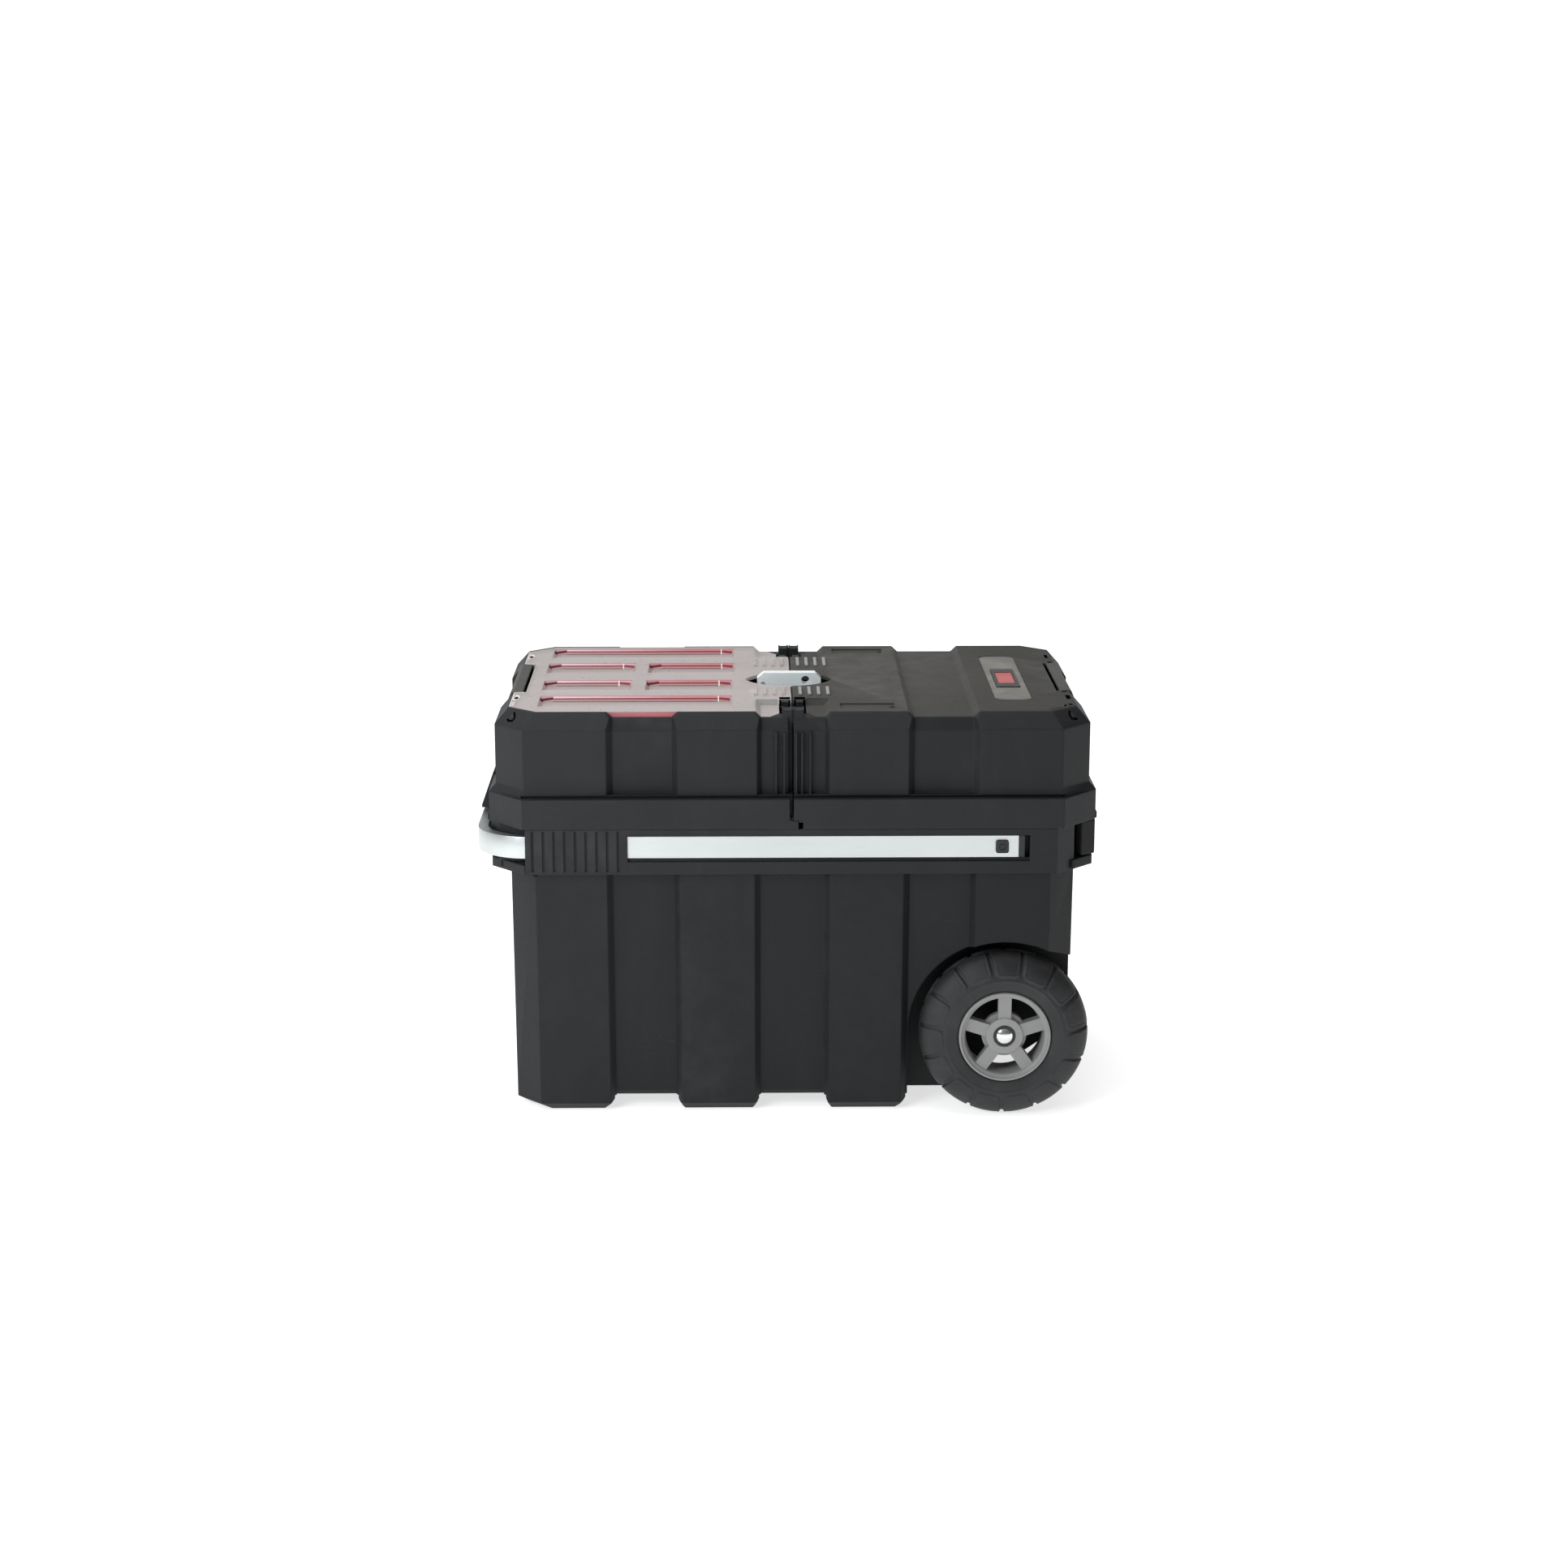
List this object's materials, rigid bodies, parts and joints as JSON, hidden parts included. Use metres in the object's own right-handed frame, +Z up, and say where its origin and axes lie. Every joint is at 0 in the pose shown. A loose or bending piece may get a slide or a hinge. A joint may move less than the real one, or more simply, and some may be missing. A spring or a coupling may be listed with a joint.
{
  "type": "rolling jobsite storage box",
  "caption": "Rolling job box: deep bin on wheels at one end, telescoping pull bar at the other, and upper trays that slide apart, with hinged lids, latches and a lock hasp.",
  "frame": {"origin": "centre of the bounding box on the floor the box stands on", "axes": "+X along the box towards the wheels, the pull bar is at -X; +Y to the back; +Z up"},
  "size_m": [0.606, 0.378, 0.4162],
  "materials": {
    "charcoal_plastic": "moulded charcoal, fine grain",
    "slider_plastic": "black acetal",
    "zinc_steel": "bright zinc plate",
    "chrome_cap": "polished",
    "tyre_rubber": "matt black",
    "rim_grey": "satin grey",
    "aluminium_bar": "satin extruded",
    "latch_plastic": "satin black",
    "clear_lid": "clear moulded",
    "lid_grey": "grained dark warm grey",
    "plate_grey": "satin mid grey",
    "frame_black": "satin black",
    "badge_red": "plain gloss red",
    "bin_red": "gloss red"
  },
  "bodies": {
    "bin": {"bin_shell": "charcoal_plastic", "bin_wheel_end": "charcoal_plastic", "handle_guide_front": "charcoal_plastic", "handle_guide_rear": "charcoal_plastic", "handle_corner_front": "charcoal_plastic", "handle_corner_rear": "charcoal_plastic", "end_bumper": "charcoal_plastic", "slide_rail_front": "zinc_steel", "slide_rail_rear": "zinc_steel", "rail_screws": "zinc_steel", "axle": "zinc_steel", "axle_bush_front": "slider_plastic", "axle_bush_rear": "slider_plastic", "wheel_spacer_front": "slider_plastic", "wheel_spacer_rear": "slider_plastic", "axle_collar_front": "slider_plastic", "axle_collar_rear": "slider_plastic", "axle_cap_front": "chrome_cap", "axle_cap_rear": "chrome_cap"},
    "handle": {"handle_bar": "aluminium_bar", "handle_endcap_front": "slider_plastic", "handle_endcap_rear": "slider_plastic", "handle_stop_front": "slider_plastic", "handle_stop_rear": "slider_plastic"},
    "front_wheel": {"tyre_front": "tyre_rubber", "wheel_rim_front": "rim_grey"},
    "rear_wheel": {"tyre_rear": "tyre_rubber", "wheel_rim_rear": "rim_grey"},
    "left_module": {"left_tray": "charcoal_plastic", "left_pull_hood": "charcoal_plastic", "left_runner_front": "slider_plastic", "left_runner_rear": "slider_plastic", "left_hinge_pins": "zinc_steel", "hasp_bracket": "zinc_steel", "hasp_pin": "zinc_steel", "parts_bin_long_front": "bin_red", "parts_bin_long_rear": "bin_red", "parts_bin_outer_front": "bin_red", "parts_bin_inner_front": "bin_red", "parts_bin_outer_rear": "bin_red", "parts_bin_inner_rear": "bin_red"},
    "right_module": {"right_tray": "charcoal_plastic", "right_runner_front": "slider_plastic", "right_runner_rear": "slider_plastic", "right_hinge_pins": "zinc_steel", "lock_lug": "zinc_steel", "right_tote": "bin_red"},
    "left_lid_body": {"left_lid": "clear_lid", "left_latch_pin": "zinc_steel"},
    "right_lid_body": {"right_lid": "lid_grey", "lid_plate": "plate_grey", "badge_frame": "frame_black", "badge_insert": "badge_red", "right_latch_pin": "zinc_steel"},
    "left_latch_body": {"left_latch": "latch_plastic"},
    "right_latch_body": {"right_latch": "latch_plastic"},
    "hasp_body": {"lock_hasp": "zinc_steel"}
  },
  "joints": [
    {"name": "handle_slide", "type": "slide", "parent": "bin", "child": "handle", "axis": [-1, 0, 0], "range_m": [0, 0.35]},
    {"name": "front_wheel_spin", "type": "hinge", "parent": "bin", "child": "front_wheel", "pos_m": [0.2142, -0.158, 0.0837], "axis": [0, 1, 0], "continuous": true},
    {"name": "rear_wheel_spin", "type": "hinge", "parent": "bin", "child": "rear_wheel", "pos_m": [0.2142, 0.158, 0.0837], "axis": [0, 1, 0], "continuous": true},
    {"name": "left_module_slide", "type": "slide", "parent": "bin", "child": "left_module", "axis": [-1, 0, 0], "range_m": [0, 0.16]},
    {"name": "right_module_slide", "type": "slide", "parent": "bin", "child": "right_module", "axis": [1, 0, 0], "range_m": [0, 0.16]},
    {"name": "left_lid_hinge", "type": "hinge", "parent": "left_module", "child": "left_lid_body", "pos_m": [-0.0015, 0, 0.406], "axis": [0, 1, 0], "range_deg": [0, 90]},
    {"name": "right_lid_hinge", "type": "hinge", "parent": "right_module", "child": "right_lid_body", "pos_m": [0.0135, 0, 0.406], "axis": [0, -1, 0], "range_deg": [0, 90]},
    {"name": "left_latch_hinge", "type": "hinge", "parent": "left_lid_body", "child": "left_latch_body", "pos_m": [-0.264, 0, 0.4045], "axis": [0, 1, 0], "range_deg": [0, 50]},
    {"name": "right_latch_hinge", "type": "hinge", "parent": "right_lid_body", "child": "right_latch_body", "pos_m": [0.276, 0, 0.4045], "axis": [0, -1, 0], "range_deg": [0, 50]},
    {"name": "hasp_hinge", "type": "hinge", "parent": "left_module", "child": "hasp_body", "pos_m": [-0.0224, -0.01, 0.4056], "axis": [0, -1, 0], "range_deg": [0, 22]}
  ]
}
